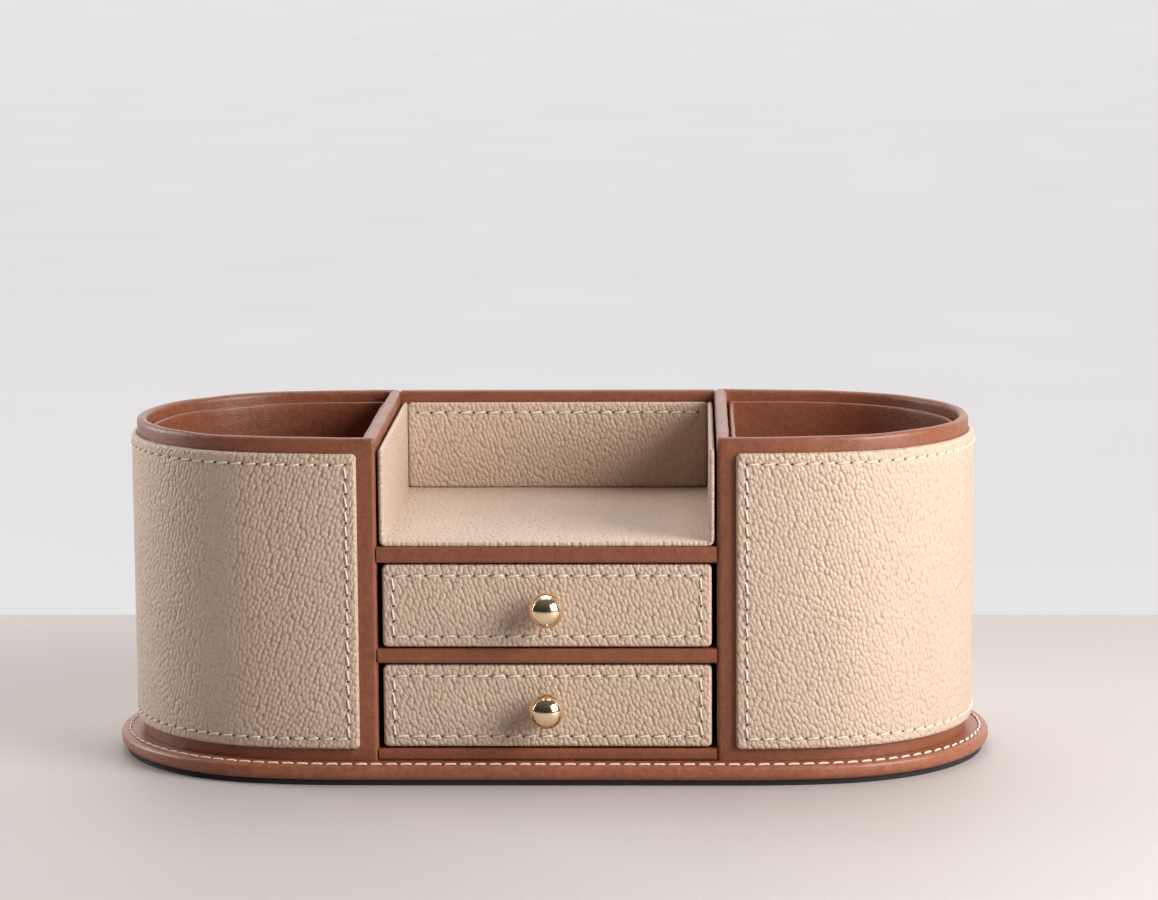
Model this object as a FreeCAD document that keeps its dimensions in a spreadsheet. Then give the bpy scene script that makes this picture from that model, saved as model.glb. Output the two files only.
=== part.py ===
import FreeCAD, Part
import math
import os

import Sketcher

# Desk organizer: two round-ended pen cups stand on one base plate, with a paper tray over two drawers between them.
# X runs along the length, Y towards the back and Z up. The origin is on the underside, at the middle of the plan.

DIMENSIONS = (
    # alias, millimetres, meaning
    ("half_depth", 65.2, "centre to the flat front and back of the cups"),
    ("flat_half", 72.0, "centre to where the front starts to curve"),
    ("curve_radius", 180.0, "gentle curve between the flat front and the round end"),
    ("end_radius", 63.25, "round end of the cups"),
    ("pad_thickness", 1.8, "non-slip pad under the base"),
    ("pad_inset", 2.2, "base edge to the pad's edge"),
    ("base_margin", 8.5, "how far the base stands out round the cups"),
    ("base_thickness", 5.8, "base plate with its cover"),
    ("base_top_round", 1.6, "rounding of the base's upper edge"),
    ("base_low_round", 3.0, "rounding of the base's lower edge"),
    ("cover_thickness", 0.8, "leatherette over the base board"),
    ("cover_turn_in", 12.0, "width of leatherette turned under the base"),
    ("rim_height", 119.3, "base to the top of the cups"),
    ("bay_half", 61.7, "centre to the side walls of the bay"),
    ("partition_thickness", 4.5, "cup wall beside the bay"),
    ("cup_wall", 3.6, "curved cup wall"),
    ("rim_round", 1.6, "rounding of the cups' top edges"),
    ("post_round", 1.7, "rounding of the front posts' edges"),
    ("liner_gap", 0.9, "cup wall to the cup liner"),
    ("liner_thickness", 1.8, "cup liner"),
    ("liner_drop", 4.2, "rim to the top of the cup liner"),
    ("liner_round", 0.8, "rounding of the liners' top edges"),
    ("cup_floor_gap", 0.2, "cup wall to the cup floor's edge"),
    ("cup_floor_thickness", 2.5, "cup floor"),
    ("back_thickness", 4.5, "back wall of the bay"),
    ("bottom_shelf_thickness", 4.6, "board under the lower drawer"),
    ("middle_shelf_thickness", 5.5, "board between the drawers"),
    ("tray_shelf_thickness", 6.0, "board under the paper tray"),
    ("rail_round", 1.4, "rounding of the shelves' front edges"),
    ("drawer_opening", 31.6, "height of each drawer's opening"),
    ("tray_gap", 0.9, "bay walls to the tray liner"),
    ("tray_liner_thickness", 1.8, "tray liner"),
    ("tray_liner_drop", 4.4, "rim to the top of the tray liner"),
    ("tray_liner_setback", 0.8, "front of the cups to the front of the tray liner"),
    ("tray_bend", 2.6, "outer bend of the tray liner beside its floor"),
    ("tray_liner_round", 0.8, "rounding of the tray liner's edges"),
    ("panel_start", 68.6, "centre to the edge of the wrap panels"),
    ("panel_proud", 2.2, "wrap panel thickness"),
    ("panel_low_gap", 4.7, "base to the bottom of the wrap panels"),
    ("panel_height", 108.9, "wrap panel height"),
    ("panel_corner", 1.8, "corners of the wrap panels, seen from the front"),
    ("leather_thickness", 0.9, "beige leather over a board"),
    ("leather_round", 1.3, "rounding of leather turned over a board's edge"),
    ("front_half", 59.8, "half the width of a drawer front"),
    ("front_half_height", 15.1, "half the height of a drawer front"),
    ("front_thickness", 6.0, "drawer front with its leather"),
    ("front_low_gap", 0.7, "opening to the bottom of a drawer front"),
    ("front_corner", 1.6, "corners of a drawer front, seen from the front"),
    ("box_half", 59.4, "half the width of a drawer box"),
    ("box_low_gap", 0.4, "opening to the bottom of a drawer box"),
    ("box_back_gap", 1.5, "back wall to the back of a drawer box"),
    ("box_side_height", 26.0, "height of a drawer's sides above its floor"),
    ("box_side_thickness", 3.0, "drawer sides and back"),
    ("box_floor_thickness", 2.4, "drawer floor"),
    ("box_round", 0.8, "rounding of the drawer sides' top edges"),
    ("lining_thickness", 1.0, "felt lining in a drawer"),
    ("lining_gap", 0.3, "felt lining to the drawer's walls"),
    ("knob_radius", 6.5, "ball of the drawer knob"),
    ("knob_reach", 8.0, "drawer front to the middle of the ball"),
    ("neck_radius", 2.9, "neck behind the ball"),
    ("foot_radius", 3.9, "foot of the neck against the leather"),
    ("foot_thickness", 0.8, "foot of the neck"),
    ("screw_radius", 2.0, "knob screw"),
    ("screw_slack", 0.05, "clearance round the knob screw"),
    ("screw_bite", 6.5, "length of the screw inside the knob"),
    ("screw_end_gap", 0.6, "end of the screw to the end of its hole"),
    ("head_radius", 3.8, "head of the knob screw"),
    ("head_thickness", 1.8, "head of the knob screw"),
    ("head_round", 0.8, "rounding of the screw's head"),
    ("recess_half_width", 0.5, "half the width of an arm of the cross recess in the screw's head"),
    ("recess_half", 2.2, "half the length of the cross recess"),
    ("recess_depth", 1.0, "depth of the cross recess"),
)

mm = {alias: value for alias, value, _ in DIMENSIONS}
doc = FreeCAD.newDocument("desk_organizer")
subparts = []


def write_sheet():
    """The driving dimensions, one named cell each."""
    sheet = doc.addObject("Spreadsheet::Sheet", "dims")
    for row, (alias, value, meaning) in enumerate(DIMENSIONS, start=1):
        sheet.set(f"A{row}", alias)
        sheet.set(f"B{row}", str(value))
        sheet.setAlias(f"B{row}", alias)
        sheet.set(f"C{row}", meaning)
    doc.recompute()


# ---- formulas: words of the sheet joined by + and -


def amount(formula):
    """The value of a formula such as "cup_wall + liner_gap"."""
    total, sign = 0.0, 1
    for word in formula.split():
        if word in ("+", "-"):
            sign = 1 if word == "+" else -1
        elif word == "zero":
            continue
        else:
            total += sign * mm[word]
    return total


def bound(formula):
    """The same formula as an expression on the sheet's cells."""
    words = []
    for word in formula.split():
        if word in ("+", "-"):
            words.append(word)
        elif word == "zero":
            words.append("0")
        else:
            words.append(f"dims.{word}")
    return " ".join(words)


def less(formula, taken):
    """The formula minus another formula."""
    swapped = {"+": "-", "-": "+"}
    words = [swapped.get(word, word) for word in taken.split()]
    if words[0] not in swapped:
        words.insert(0, "-")
    return " ".join([formula] + words)


# ---- sketches and bodies


def new_body(label):
    return doc.addObject("PartDesign::Body", label)


def plane(body, role):
    return next(item for item in body.Origin.OriginFeatures if item.Role == role)


def new_sketch(body, name, role="XY_Plane", shift=("zero", "zero", "zero")):
    """A sketch on one of the body's own planes, shifted along the sketch's axes by three formulas."""
    sketch = body.newObject("Sketcher::SketchObject", f"{body.Name}_{name}")
    sketch.AttachmentSupport = [(plane(body, role), "")]
    sketch.MapMode = "FlatFace"
    for axis, formula in zip("xyz", shift):
        sketch.setExpression(f".AttachmentOffset.Base.{axis}", bound(formula))
    return sketch


def constrain(sketch, *arguments):
    return sketch.addConstraint(Sketcher.Constraint(*arguments))


def size_constraint(sketch, name, formula, kind, *places):
    """A dimension of the sketch that follows the sheet."""
    index = constrain(sketch, kind, *places, amount(formula))
    sketch.renameConstraint(index, name)
    sketch.setExpression(f"Constraints.{name}", bound(formula))


def vec(x, y, z=0.0):
    return FreeCAD.Vector(x, y, z)


START, END, CENTRE = 1, 2, 3
ORIGIN_POINT = (-1, 1)
ACROSS_AXIS, UP_AXIS = -1, -2


def draw_rectangle(sketch, width, height):
    """A rectangle with one corner at the origin."""
    w, h = amount(width), amount(height)
    corners = [vec(0, 0), vec(w, 0), vec(w, h), vec(0, h)]
    for i in range(4):
        sketch.addGeometry(Part.LineSegment(corners[i], corners[(i + 1) % 4]), False)
    for i in range(4):
        constrain(sketch, "Coincident", i, END, (i + 1) % 4, START)
        constrain(sketch, "Horizontal" if i % 2 == 0 else "Vertical", i)
    constrain(sketch, "Coincident", 0, START, *ORIGIN_POINT)
    size_constraint(sketch, "width", width, "DistanceX", 0, START, 0, END)
    size_constraint(sketch, "height", height, "DistanceY", 1, START, 1, END)


def pin_point(sketch, name, geometry, end, across, up):
    """Fix a point of the sketch by two formulas, either of which may be zero or begin with a minus."""
    for kind, axis, formula in (("DistanceX", UP_AXIS, across), ("DistanceY", ACROSS_AXIS, up)):
        if formula == "zero":
            constrain(sketch, "PointOnObject", geometry, end, axis)
        elif formula.startswith("- "):
            size_constraint(sketch, name + kind, less("zero", formula), kind, geometry, end, *ORIGIN_POINT)
        else:
            size_constraint(sketch, name + kind, formula, kind, *ORIGIN_POINT, geometry, end)


def draw_polygon(sketch, points):
    """Straight edges through points given by pairs of formulas, closed back to the first."""
    places = [vec(amount(across), amount(up)) for across, up in points]
    for i, (across, up) in enumerate(points):
        sketch.addGeometry(Part.LineSegment(places[i], places[(i + 1) % len(points)]), False)
    for i, (across, up) in enumerate(points):
        constrain(sketch, "Coincident", i, END, (i + 1) % len(points), START)
        pin_point(sketch, f"point{i}", i, START, across, up)


def draw_circle(sketch, radius, across, up):
    """A circle at a place given by two formulas."""
    sketch.addGeometry(Part.Circle(vec(amount(across), amount(up)), vec(0, 0, 1), amount(radius)), False)
    size_constraint(sketch, "radius", radius, "Radius", 0)
    pin_point(sketch, "centre", 0, CENTRE, across, up)


def curve_centres():
    """Centres of the gentle curve at the back and of the round end, both on the right."""
    gentle = vec(mm["flat_half"], mm["half_depth"] - mm["curve_radius"])
    run = math.sqrt((mm["curve_radius"] - mm["end_radius"]) ** 2 - gentle.y**2)
    return gentle, vec(mm["flat_half"] + run, 0)


def draw_half_oval(sketch, inset, start):
    """The right part of the plan from x = start on: flat, gentle curve, round end, and the same back again.

    All of it is moved in by inset, or out where inset is negative.
    """
    away = amount(inset)
    depth = mm["half_depth"] - away
    first, last = amount(start), mm["flat_half"]
    gentle, end = curve_centres()
    join = math.atan2(end.y - gentle.y, end.x - gentle.x)
    upright = vec(0, 0, 1)
    back_circle = Part.Circle(gentle, upright, mm["curve_radius"] - away)
    front_circle = Part.Circle(vec(gentle.x, -gentle.y), upright, mm["curve_radius"] - away)
    end_circle = Part.Circle(end, upright, mm["end_radius"] - away)
    sketch.addGeometry(
        [
            Part.LineSegment(vec(first, depth), vec(last, depth)),
            Part.ArcOfCircle(back_circle, join, math.pi / 2),
            Part.ArcOfCircle(end_circle, -join, join),
            Part.ArcOfCircle(front_circle, -math.pi / 2, -join),
            Part.LineSegment(vec(last, -depth), vec(first, -depth)),
            Part.LineSegment(vec(first, -depth), vec(first, depth)),
        ],
        False,
    )
    back, back_arc, end_arc, front_arc, front, side = range(6)
    constrain(sketch, "Coincident", side, END, back, START)
    constrain(sketch, "Coincident", front, END, side, START)
    constrain(sketch, "Horizontal", back)
    constrain(sketch, "Symmetric", back, START, front, END, ACROSS_AXIS)
    constrain(sketch, "Symmetric", back, END, front, START, ACROSS_AXIS)
    constrain(sketch, "Tangent", back, END, back_arc, END)
    constrain(sketch, "Tangent", back_arc, START, end_arc, END)
    constrain(sketch, "Tangent", end_arc, START, front_arc, END)
    constrain(sketch, "Tangent", front_arc, START, front, START)
    constrain(sketch, "Equal", back_arc, front_arc)
    size_constraint(sketch, "depth", less("half_depth", inset), "DistanceY", *ORIGIN_POINT, back, START)
    size_constraint(sketch, "flat_end", "flat_half", "DistanceX", *ORIGIN_POINT, back, END)
    if first > 0:
        size_constraint(sketch, "start", start, "DistanceX", *ORIGIN_POINT, back, START)
    else:
        constrain(sketch, "PointOnObject", back, START, UP_AXIS)
    size_constraint(sketch, "gentle", less("curve_radius", inset), "Radius", back_arc)
    size_constraint(sketch, "round_end", less("end_radius", inset), "Radius", end_arc)


# ---- features


def add_pad(body, sketch, length, reverse=False):
    """A pad, checked against an empty result."""
    pad = body.newObject("PartDesign::Pad", f"{sketch.Name}_pad")
    pad.Profile = sketch
    pad.setExpression("Length", bound(length))
    pad.Reversed = reverse
    doc.recompute()
    assert pad.Shape.Volume > 0, pad.Name
    return pad


def add_pocket(body, sketch, length=None, reverse=False):
    """A pocket through everything, or of a length, checked against cutting nothing."""
    before = body.Tip.Shape.Volume
    pocket = body.newObject("PartDesign::Pocket", f"{sketch.Name}_pocket")
    pocket.Profile = sketch
    pocket.Reversed = reverse
    if length is None:
        pocket.Type = "ThroughAll"
        pocket.Midplane = True
    else:
        pocket.Type = "Length"
        pocket.setExpression("Length", bound(length))
    doc.recompute()
    assert pocket.Shape.Volume < before, pocket.Name
    return pocket


def add_revolution(body, sketch):
    """A full turn of the sketch about the body's Y axis."""
    turn = body.newObject("PartDesign::Revolution", f"{sketch.Name}_turn")
    turn.Profile = sketch
    turn.ReferenceAxis = (sketch, ["V_Axis"])
    turn.Angle = 360
    doc.recompute()
    assert turn.Shape.Volume > 0, turn.Name
    return turn


def add_mirror(body, feature):
    """The feature again on the left of the YZ plane."""
    mirror = body.newObject("PartDesign::Mirrored", f"{feature.Name}_mirror")
    mirror.Originals = [feature]
    mirror.MirrorPlane = (plane(body, "YZ_Plane"), [""])
    body.Tip = mirror
    doc.recompute()
    assert mirror.Shape.Volume > feature.Shape.Volume, mirror.Name
    return mirror


def middle_of(edge):
    return edge.valueAt((edge.FirstParameter + edge.LastParameter) / 2)


def add_fillet(body, name, radius, wanted):
    """Round the edges of the body's tip that wanted(edge) chooses."""
    base = body.Tip
    edges = [f"Edge{i}" for i, edge in enumerate(base.Shape.Edges, start=1) if wanted(edge)]
    assert edges, name
    fillet = body.newObject("PartDesign::Fillet", f"{body.Name}_{name}")
    fillet.Base = (base, edges)
    fillet.setExpression("Radius", bound(radius))
    doc.recompute()
    assert fillet.Shape.isValid() and fillet.Shape.Volume > 0, fillet.Name
    return fillet


NEAR = 0.01


def near(value, target):
    return abs(value - target) < NEAR


def at_height(height):
    """Edges that lie all at one height."""
    return lambda edge: near(edge.BoundBox.ZMin, height) and near(edge.BoundBox.ZMax, height)


def at_front(edge):
    """Edges that lie all in the body's own front plane, y = 0."""
    return near(edge.BoundBox.YMin, 0) and near(edge.BoundBox.YMax, 0)


def straight_along(edge, axis):
    """True for a straight edge along the axis."""
    spans = (edge.BoundBox.XLength, edge.BoundBox.YLength, edge.BoundBox.ZLength)
    return all((span > NEAR) == (i == axis) for i, span in enumerate(spans))


ALONG_X, ALONG_Y, ALONG_Z = range(3)


def outset(point):
    """How far a point on the right lies outside the plan of the cups' walls."""
    gentle, end = curve_centres()
    across, depth = point.x, abs(point.y)
    if across <= mm["flat_half"]:
        return depth - mm["half_depth"]
    if math.atan2(depth - gentle.y, across - gentle.x) > math.atan2(end.y - gentle.y, end.x - gentle.x):
        return math.hypot(across - gentle.x, depth - gentle.y) - mm["curve_radius"]
    return math.hypot(across - end.x, depth) - mm["end_radius"]


def place(item, x="zero", y="zero", z="zero", half_turn=False):
    """Put a finished piece where formulas say, half a turn round where it is the left one."""
    if half_turn:
        item.Placement = FreeCAD.Placement(vec(0, 0, 0), FreeCAD.Rotation(vec(0, 0, 1), 180))
    item.setExpression(".Placement.Base.x", bound(x))
    item.setExpression(".Placement.Base.y", bound(y))
    item.setExpression(".Placement.Base.z", bound(z))


def keep(item, label):
    """Name a finished piece and put it on the list of sub-parts."""
    item.Label = label
    subparts.append(item)
    return item


def cut(label, base, tool):
    """base with the space of tool taken out of it."""
    result = doc.addObject("Part::Cut", f"{label}_cut")
    result.Base = base
    result.Tool = tool
    doc.recompute()
    assert 0 < result.Shape.Volume < base.Shape.Volume, label
    return result


def board(label, width, depth, height, x="zero", y="zero", z="zero"):
    """A rectangular board as a body, its low corner at x, y, z."""
    body = new_body(label)
    sketch = new_sketch(body, "plan")
    draw_rectangle(sketch, width, depth)
    add_pad(body, sketch, height)
    place(body, x, y, z)
    return keep(body, label)


def oval_layer(body, name, inset, thickness, height="zero"):
    """One full oval layer of a body, from a height up."""
    sketch = new_sketch(body, name, shift=("zero", "zero", height))
    draw_half_oval(sketch, inset, "zero")
    return add_mirror(body, add_pad(body, sketch, thickness))


# ---- heights above the underside

BASE_TOP = "pad_thickness + base_thickness"
LOWER_OPENING = f"{BASE_TOP} + bottom_shelf_thickness"
MIDDLE_SHELF = f"{LOWER_OPENING} + drawer_opening"
UPPER_OPENING = f"{MIDDLE_SHELF} + middle_shelf_thickness"
TRAY_SHELF = f"{UPPER_OPENING} + drawer_opening"
TRAY_FLOOR = f"{TRAY_SHELF} + tray_shelf_thickness"
TRAY_LINER_HEIGHT = less(f"{BASE_TOP} + rim_height - tray_liner_drop", TRAY_FLOOR)
BAY_WIDTH = "bay_half + bay_half"


# ---- base


def non_slip_pad():
    """A soft pad with a low middle part that fills the leatherette's opening under the board."""
    body = new_body("non_slip_pad")
    oval_layer(body, "sole", "- base_margin + pad_inset", "pad_thickness")
    oval_layer(body, "middle", "- base_margin + cover_turn_in", "cover_thickness", "pad_thickness")
    return keep(body, "non_slip_pad")


def base_board():
    """The board inside the base cover, its edges rounded like the cover round it."""
    body = new_body("base_board")
    height = "base_thickness - cover_thickness - cover_thickness"
    oval_layer(body, "plan", "- base_margin + cover_thickness", height)
    add_fillet(body, "top_round", "base_top_round - cover_thickness", at_height(amount(height)))
    add_fillet(body, "low_round", "base_low_round - cover_thickness", at_height(0))
    place(body, z="pad_thickness + cover_thickness")
    return keep(body, "base_board")


def base_cover(core, sole):
    """Leatherette over the board's top and edge and turned in under it."""
    body = new_body("base_outside")
    oval_layer(body, "plan", "- base_margin", "base_thickness")
    add_fillet(body, "top_round", "base_top_round", at_height(mm["base_thickness"]))
    add_fillet(body, "low_round", "base_low_round", at_height(0))
    place(body, z="pad_thickness")
    return keep(cut("base_cover", cut("base_cover_blank", body, core), sole), "base_cover")


# ---- cups


def half_oval_ring(body, height, inset, start, wall, side_wall):
    """An upright closed ring with a half-oval plan, its wall thicker or thinner on the straight side."""
    outer = new_sketch(body, "outer")
    draw_half_oval(outer, inset, start)
    add_pad(body, outer, height)
    inner = new_sketch(body, "inner")
    draw_half_oval(inner, f"{inset} + {wall}", f"{start} + {side_wall}")
    add_pocket(body, inner)


def cup_shell(side, half_turn):
    """The wrapped wall of one cup: curved outside, straight beside the bay."""
    body = new_body(f"{side}_cup_shell")
    half_oval_ring(body, "rim_height", "zero", "bay_half", "cup_wall", "partition_thickness")
    bay_side = mm["bay_half"]
    add_fillet(
        body,
        "post_round",
        "post_round",
        lambda edge: straight_along(edge, ALONG_Z) and near(edge.BoundBox.XMin, bay_side),
    )
    add_fillet(body, "rim_round", "rim_round", at_height(mm["rim_height"]))
    place(body, z=BASE_TOP, half_turn=half_turn)
    return keep(body, f"{side}_cup_shell")


def cup_floor(side, half_turn):
    body = new_body(f"{side}_cup_floor")
    sketch = new_sketch(body, "plan")
    draw_half_oval(sketch, "cup_wall + cup_floor_gap", "bay_half + partition_thickness + cup_floor_gap")
    add_pad(body, sketch, "cup_floor_thickness")
    place(body, z=BASE_TOP, half_turn=half_turn)
    return keep(body, f"{side}_cup_floor")


def cup_liner(side, half_turn):
    """The lining wall that stands on the cup's floor, a little below the rim."""
    body = new_body(f"{side}_cup_liner")
    height = "rim_height - cup_floor_thickness - liner_drop"
    start = "bay_half + partition_thickness + liner_gap"
    half_oval_ring(body, height, "cup_wall + liner_gap", start, "liner_thickness", "liner_thickness")
    add_fillet(body, "top_round", "liner_round", at_height(amount(height)))
    place(body, z=f"{BASE_TOP} + cup_floor_thickness", half_turn=half_turn)
    return keep(body, f"{side}_cup_liner")


# ---- wrap panels


def panel_blank(body, inset, start, height):
    """A band round the end of a cup, open towards the bay, with its back on the cup's wall."""
    outer = new_sketch(body, "outer")
    draw_half_oval(outer, inset, start)
    add_pad(body, outer, height)
    inner = new_sketch(body, "inner")
    draw_half_oval(inner, "zero", "bay_half")
    add_pocket(body, inner)


def wrap_panel_board(side, half_turn):
    body = new_body(f"{side}_wrap_panel_board")
    panel_blank(
        body,
        "- panel_proud + leather_thickness",
        "panel_start + leather_thickness",
        "panel_height - leather_thickness - leather_thickness",
    )
    place(body, z=f"{BASE_TOP} + panel_low_gap + leather_thickness", half_turn=half_turn)
    return keep(body, f"{side}_wrap_panel_board")


def wrap_panel_leather(side, half_turn, core):
    """Leather over the panel's board, turned round all four edges."""
    body = new_body(f"{side}_wrap_panel_outside")
    panel_blank(body, "- panel_proud", "panel_start", "panel_height")
    start = mm["panel_start"]
    add_fillet(
        body,
        "corner",
        "panel_corner",
        lambda edge: straight_along(edge, ALONG_Y) and near(edge.BoundBox.XMin, start),
    )
    proud = mm["panel_proud"]
    add_fillet(body, "edge", "leather_round", lambda edge: near(outset(middle_of(edge)), proud))
    place(body, z=f"{BASE_TOP} + panel_low_gap", half_turn=half_turn)
    label = f"{side}_wrap_panel_leather"
    return keep(cut(label, body, core), label)


# ---- bay


def back_wall():
    top = mm["rim_height"]
    y = "half_depth - back_thickness"
    body = board("back_wall", BAY_WIDTH, "back_thickness", "rim_height", "- bay_half", y, BASE_TOP)
    add_fillet(body, "top_round", "rim_round", lambda edge: at_height(top)(edge) and straight_along(edge, ALONG_X))
    return body


def shelf(label, thickness, z):
    """A board between the cups with a rounded front edge."""
    depth = "half_depth + half_depth - back_thickness"
    body = board(label, BAY_WIDTH, depth, thickness, "- bay_half", "- half_depth", z)
    add_fillet(body, "rail_round", "rail_round", lambda edge: at_front(edge) and straight_along(edge, ALONG_X))
    return body


def tray_liner():
    """One leather sheet bent up at both sides of the tray."""
    body = new_body("tray_liner")
    width = "bay_half + bay_half - tray_gap - tray_gap"
    thickness = "tray_liner_thickness"
    depth = "half_depth + half_depth - back_thickness - tray_liner_setback - tray_gap"
    outer = new_sketch(body, "outer", "XZ_Plane")
    draw_rectangle(outer, width, TRAY_LINER_HEIGHT)
    add_pad(body, outer, depth, reverse=True)
    inner = new_sketch(body, "inner", "XZ_Plane", shift=(thickness, thickness, "zero"))
    draw_rectangle(inner, f"{width} - {thickness} - {thickness}", TRAY_LINER_HEIGHT)
    add_pocket(body, inner)
    add_fillet(body, "outer_bend", "tray_bend", lambda edge: straight_along(edge, ALONG_Y) and at_height(0)(edge))
    floor = at_height(mm[thickness])
    add_fillet(
        body, "inner_bend", f"tray_bend - {thickness}", lambda edge: straight_along(edge, ALONG_Y) and floor(edge)
    )
    top = at_height(amount(TRAY_LINER_HEIGHT))
    add_fillet(
        body,
        "edge_round",
        "tray_liner_round",
        lambda edge: (at_front(edge) and not straight_across_top(edge)) or (top(edge) and straight_along(edge, ALONG_Y)),
    )
    place(body, "- bay_half + tray_gap", "- half_depth + tray_liner_setback", TRAY_FLOOR)
    return keep(body, "tray_liner")


def straight_across_top(edge):
    """The short top edges at the tray liner's front."""
    return straight_along(edge, ALONG_X) and near(edge.BoundBox.ZMax, amount(TRAY_LINER_HEIGHT))


def tray_back_liner():
    """The stitched leather sheet across the back of the tray."""
    thickness = "tray_liner_thickness"
    side = f"tray_gap + {thickness}"
    body = board(
        "tray_back_liner",
        less(less(BAY_WIDTH, side), side),
        thickness,
        less(TRAY_LINER_HEIGHT, thickness),
        f"- bay_half + {side}",
        f"half_depth - back_thickness - tray_gap - {thickness}",
        f"{TRAY_FLOOR} + {thickness}",
    )
    top = at_height(amount(TRAY_LINER_HEIGHT) - mm[thickness])
    add_fillet(body, "top_round", "tray_liner_round", lambda edge: top(edge) and straight_along(edge, ALONG_X))
    return body


# ---- drawers

FRONT_WIDTH = "front_half + front_half"
FRONT_HEIGHT = "front_half_height + front_half_height"
BOX_DEPTH = "half_depth + half_depth - front_thickness - back_thickness - box_back_gap"
SCREW_HOLE = "screw_radius + screw_slack"


def front_blank(body, width, height, thickness, margin):
    """An upright board with the knob's screw hole through its middle, its face in the plane y = 0."""
    face = new_sketch(body, "face", "XZ_Plane")
    draw_rectangle(face, width, height)
    add_pad(body, face, thickness, reverse=True)
    hole = new_sketch(body, "screw_hole", "XZ_Plane")
    draw_circle(hole, SCREW_HOLE, less("front_half", margin), less("front_half_height", margin))
    return hole


def front_board(drawer, opening):
    """The board inside a drawer front."""
    body = new_body(f"{drawer}_front_board")
    leather = "leather_thickness"
    hole = front_blank(
        body,
        f"{FRONT_WIDTH} - {leather} - {leather}",
        f"{FRONT_HEIGHT} - {leather} - {leather}",
        f"front_thickness - {leather}",
        leather,
    )
    add_pocket(body, hole)
    place(body, f"- front_half + {leather}", f"- half_depth + {leather}", f"{opening} + front_low_gap + {leather}")
    return keep(body, f"{drawer}_front_board")


def front_leather(drawer, opening, core):
    """Leather over the board of a drawer front, turned round its edges."""
    body = new_body(f"{drawer}_front_outside")
    hole = front_blank(body, FRONT_WIDTH, FRONT_HEIGHT, "front_thickness", "zero")
    add_fillet(body, "corner", "front_corner", lambda edge: straight_along(edge, ALONG_Y))
    add_fillet(body, "edge", "leather_round", at_front)
    add_pocket(body, hole)
    place(body, "- front_half", "- half_depth", f"{opening} + front_low_gap")
    label = f"{drawer}_front_leather"
    return keep(cut(label, body, core), label)


def drawer_box(drawer, opening):
    """Floor, two sides and a back, with a felt lining on the floor."""
    wall = "box_side_thickness"
    front = "- half_depth + front_thickness"
    floor = f"{opening} + box_low_gap"
    above = f"{floor} + box_floor_thickness"
    width = "box_half + box_half"
    inside = f"{width} - {wall} - {wall}"
    board(f"{drawer}_floor", width, BOX_DEPTH, "box_floor_thickness", "- box_half", front, floor)
    sides = (
        (f"{drawer}_left_side", wall, BOX_DEPTH, "- box_half", front),
        (f"{drawer}_right_side", wall, BOX_DEPTH, f"box_half - {wall}", front),
        (f"{drawer}_back", inside, wall, f"- box_half + {wall}", f"half_depth - back_thickness - box_back_gap - {wall}"),
    )
    top = at_height(mm["box_side_height"])
    for label, across, along, x, y in sides:
        body = board(label, across, along, "box_side_height", x, y, above)
        long_way = ALONG_X if across == inside else ALONG_Y
        add_fillet(body, "top_round", "box_round", lambda edge, way=long_way: top(edge) and straight_along(edge, way))
    board(
        f"{drawer}_felt_lining",
        f"{inside} - lining_gap - lining_gap",
        f"{BOX_DEPTH} - {wall} - lining_gap - lining_gap",
        "lining_thickness",
        f"- box_half + {wall} + lining_gap",
        f"{front} + lining_gap",
        above,
    )


HOLE_END = "- screw_bite - screw_end_gap"


def draw_knob_profile(sketch):
    """Half of the knob: screw hole, foot, neck and ball, beside the sketch's upright axis."""
    corners = (
        ("zero", HOLE_END),
        (SCREW_HOLE, HOLE_END),
        (SCREW_HOLE, "zero"),
        ("foot_radius", "zero"),
        ("foot_radius", "- foot_thickness"),
        ("neck_radius", "- foot_thickness"),
    )
    radius, reach, neck = mm["knob_radius"], mm["knob_reach"], mm["neck_radius"]
    meet = vec(neck, math.sqrt(radius**2 - neck**2) - reach)
    tip = vec(0, -reach - radius)
    places = [vec(amount(across), amount(up)) for across, up in corners] + [meet]
    for first, second in zip(places, places[1:]):
        sketch.addGeometry(Part.LineSegment(first, second), False)
    ball = Part.Circle(vec(0, -reach), vec(0, 0, 1), radius)
    meet_angle = math.atan2(meet.y + reach, neck)
    sketch.addGeometry(Part.ArcOfCircle(ball, -math.pi / 2, meet_angle), False)
    sketch.addGeometry(Part.LineSegment(tip, places[0]), False)
    arc, axis_line = len(corners), len(corners) + 1
    for i, (across, up) in enumerate(corners):
        pin_point(sketch, f"corner{i}", i, START, across, up)
    for i in range(arc - 1):
        constrain(sketch, "Coincident", i, END, i + 1, START)
    constrain(sketch, "Vertical", arc - 1)
    constrain(sketch, "Coincident", arc - 1, END, arc, END)
    constrain(sketch, "Coincident", arc, START, axis_line, START)
    constrain(sketch, "Coincident", axis_line, END, 0, START)
    pin_point(sketch, "ball", arc, CENTRE, "zero", "- knob_reach")
    size_constraint(sketch, "ball_radius", "knob_radius", "Radius", arc)
    constrain(sketch, "PointOnObject", arc, START, UP_AXIS)


def knob(drawer, opening):
    """A turned ball on a short neck with a small foot, and a blind hole for its screw."""
    body = new_body(f"{drawer}_knob")
    sketch = new_sketch(body, "profile")
    draw_knob_profile(sketch)
    add_revolution(body, sketch)
    place(body, "zero", "- half_depth", f"{opening} + front_low_gap + front_half_height")
    return keep(body, f"{drawer}_knob")


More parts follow.
